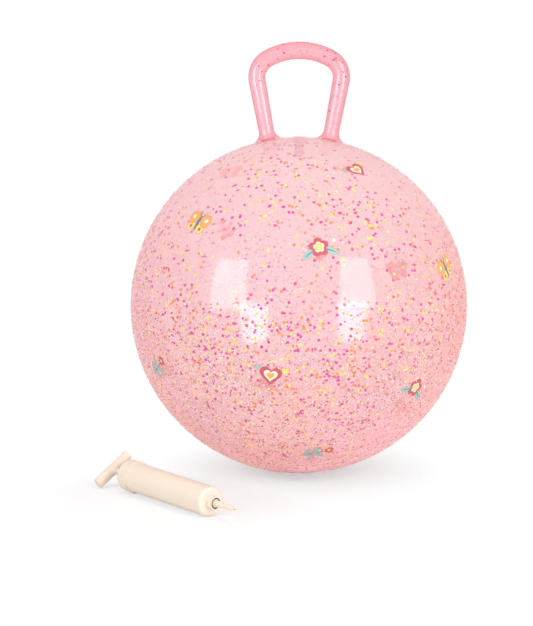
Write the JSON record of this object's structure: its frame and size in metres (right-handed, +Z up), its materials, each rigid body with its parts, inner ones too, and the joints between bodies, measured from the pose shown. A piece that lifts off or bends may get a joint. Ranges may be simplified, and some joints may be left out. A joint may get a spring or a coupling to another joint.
{
  "type": "hopper ball",
  "caption": "Inflatable bouncing ball with a hollow loop handle, glitter in its clear pink skin and a pull-out air plug, with its matching hand pump beside it.",
  "frame": {"origin": "middle of the flat patch on which the ball rests, on the floor", "axes": "+Z up through the valve and the handle; the handle's loop lies in the XZ plane; -Y towards the viewer and the pump"},
  "size_m": [0.4888, 0.5138, 0.5732],
  "materials": {
    "ball_skin": "glossy clear pink vinyl with confetti",
    "handle": "glossy clear pink vinyl",
    "valve_seat": "milky soft vinyl",
    "valve_plug": "satin",
    "pump_body": "satin cream",
    "pump_fittings": "satin cream",
    "seal_rubber": "matte dark",
    "screw_steel": "bright"
  },
  "bodies": {
    "root": {"ball_skin": "ball_skin", "grab_handle": "handle", "valve_seat": "valve_seat", "pump_barrel": "pump_body", "pump_end_cap": "pump_body", "rod_guide": "pump_fittings", "check_valve_disc": "seal_rubber", "valve_cage": "pump_fittings", "nozzle_washer": "seal_rubber", "nozzle": "pump_fittings"},
    "air_plug": {"valve_plug": "valve_plug"},
    "seal_ring": {"piston_seal": "seal_rubber"},
    "plunger": {"pump_rod": "pump_body", "piston_head": "pump_fittings", "piston_screw": "screw_steel", "pump_grip": "pump_body"}
  },
  "joints": [
    {"name": "plug_pull", "type": "slide", "parent": "root", "child": "air_plug", "axis": [0, 0, 1], "range_m": [0, 0.025]},
    {"name": "pump_stroke", "type": "slide", "parent": "root", "child": "seal_ring", "axis": [-0.669, 0.7431, 0.0158], "range_m": [-0.0203, 0.1183]},
    {"name": "grip_turn", "type": "hinge", "parent": "seal_ring", "child": "plunger", "pos_m": [-0.20448, -0.14414, 0.0209], "axis": [-0.669, 0.7431, 0.0158], "continuous": true}
  ]
}
